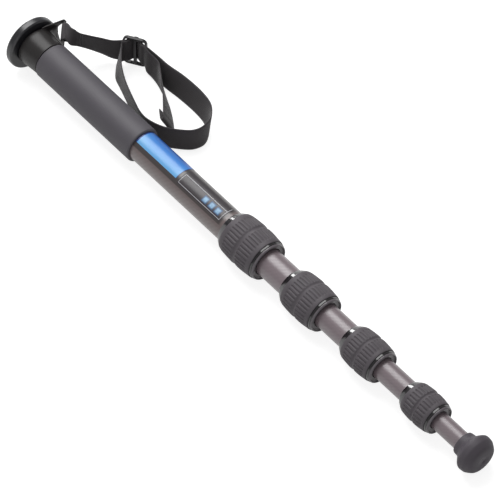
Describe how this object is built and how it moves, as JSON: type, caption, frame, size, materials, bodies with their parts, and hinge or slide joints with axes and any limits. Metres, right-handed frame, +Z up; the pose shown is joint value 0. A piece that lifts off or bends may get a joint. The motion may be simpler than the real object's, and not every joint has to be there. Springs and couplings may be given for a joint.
{
  "type": "camera monopod",
  "caption": "Folded twist-lock carbon monopod lying on its side: round camera plate with screw, foam grip, ribbed twist locks, rubber foot, woven wrist strap.",
  "frame": {"origin": "middle of the camera plate's mounting face, where the camera screw leaves it", "axes": "+X along the tubes from the plate to the foot, +Z up as it lies on its side, +Y the side that the wrist strap lies on"},
  "size_m": [0.5725, 0.1, 0.0492],
  "materials": {
    "plate_black": "satin black anodised",
    "pad_black": "matt, fine grain",
    "screw_steel": "plated",
    "grub_black": "black oxide",
    "carbon_tube": "clear coated carbon fibre, fine twill",
    "foam_black": "matt closed-cell foam",
    "label_blue": "satin film",
    "label_black": "printed film with a white frame",
    "webbing_black": "ribbed nylon webbing",
    "slider_black": "moulded",
    "lock_black": "gloss black",
    "collet_white": "moulded acetal",
    "grip_rubber": "matt, ribbed",
    "seal_grey": "satin",
    "insert_metal": "machined",
    "foot_rubber": "smooth, slightly glossy"
  },
  "bodies": {
    "handle": {"top_plate": "plate_black", "plate_pad": "pad_black", "camera_screw": "screw_steel", "plate_grub_screw": "grub_black", "head_collar": "plate_black", "top_tube": "carbon_tube", "foam_grip": "foam_black", "blue_label": "label_blue", "info_label": "label_black", "wrist_strap": "webbing_black", "strap_slider": "slider_black", "thread_ferrule_1": "lock_black"},
    "leg_2": {"leg_tube_2": "carbon_tube", "anti_twist_shims_2": "collet_white", "thread_ferrule_2": "lock_black"},
    "leg_3": {"leg_tube_3": "carbon_tube", "anti_twist_shims_3": "collet_white", "thread_ferrule_3": "lock_black"},
    "leg_4": {"leg_tube_4": "carbon_tube", "anti_twist_shims_4": "collet_white", "thread_ferrule_4": "lock_black"},
    "leg_5": {"leg_tube_5": "carbon_tube", "anti_twist_shims_5": "collet_white", "foot_insert": "insert_metal"},
    "collet_1_ring": {"collet_1": "collet_white"},
    "lock_1": {"lock_collar_1": "lock_black", "lock_grip_1": "grip_rubber", "dust_seal_1": "seal_grey"},
    "collet_2_ring": {"collet_2": "collet_white"},
    "lock_2": {"lock_collar_2": "lock_black", "lock_grip_2": "grip_rubber", "dust_seal_2": "seal_grey"},
    "collet_3_ring": {"collet_3": "collet_white"},
    "lock_3": {"lock_collar_3": "lock_black", "lock_grip_3": "grip_rubber", "dust_seal_3": "seal_grey"},
    "collet_4_ring": {"collet_4": "collet_white"},
    "lock_4": {"lock_collar_4": "lock_black", "lock_grip_4": "grip_rubber", "dust_seal_4": "seal_grey"},
    "foot_stem": {"foot_screw": "screw_steel"},
    "foot": {"rubber_foot": "foot_rubber"}
  },
  "joints": [
    {"name": "extend_1", "type": "slide", "parent": "handle", "child": "leg_2", "axis": [1, 0, 0], "range_m": [-0.0238, 0.23]},
    {"name": "extend_2", "type": "slide", "parent": "leg_2", "child": "leg_3", "axis": [1, 0, 0], "range_m": [-0.0245, 0.25]},
    {"name": "extend_3", "type": "slide", "parent": "leg_3", "child": "leg_4", "axis": [1, 0, 0], "range_m": [-0.0259, 0.27]},
    {"name": "extend_4", "type": "slide", "parent": "leg_4", "child": "leg_5", "axis": [1, 0, 0], "range_m": [-0.0211, 0.28]},
    {"name": "press_1", "type": "slide", "parent": "handle", "child": "collet_1_ring", "axis": [1, 0, 0], "range_m": [0, 0.0005]},
    {"name": "turn_1", "type": "hinge", "parent": "collet_1_ring", "child": "lock_1", "pos_m": [0, 0, 0], "axis": [1, 0, 0], "range_deg": [0, 121]},
    {"name": "press_2", "type": "slide", "parent": "leg_2", "child": "collet_2_ring", "axis": [1, 0, 0], "range_m": [0, 0.0005]},
    {"name": "turn_2", "type": "hinge", "parent": "collet_2_ring", "child": "lock_2", "pos_m": [0, 0, 0], "axis": [1, 0, 0], "range_deg": [0, 121]},
    {"name": "press_3", "type": "slide", "parent": "leg_3", "child": "collet_3_ring", "axis": [1, 0, 0], "range_m": [0, 0.0005]},
    {"name": "turn_3", "type": "hinge", "parent": "collet_3_ring", "child": "lock_3", "pos_m": [0, 0, 0], "axis": [1, 0, 0], "range_deg": [0, 121]},
    {"name": "press_4", "type": "slide", "parent": "leg_4", "child": "collet_4_ring", "axis": [1, 0, 0], "range_m": [0, 0.0005]},
    {"name": "turn_4", "type": "hinge", "parent": "collet_4_ring", "child": "lock_4", "pos_m": [0, 0, 0], "axis": [1, 0, 0], "range_deg": [0, 121]},
    {"name": "foot_travel", "type": "slide", "parent": "leg_5", "child": "foot_stem", "axis": [1, 0, 0], "range_m": [0, 0.00317]},
    {"name": "foot_turn", "type": "hinge", "parent": "foot_stem", "child": "foot", "pos_m": [0, 0, 0], "axis": [1, 0, 0], "range_deg": [0, 721]}
  ],
  "couplings": [
    {"joint": "turn_1", "follows": "press_1", "rad_per_m": 4188.8},
    {"joint": "turn_2", "follows": "press_2", "rad_per_m": 4188.8},
    {"joint": "turn_3", "follows": "press_3", "rad_per_m": 4188.8},
    {"joint": "turn_4", "follows": "press_4", "rad_per_m": 4188.8},
    {"joint": "foot_turn", "follows": "foot_travel", "rad_per_m": 3957.9}
  ]
}
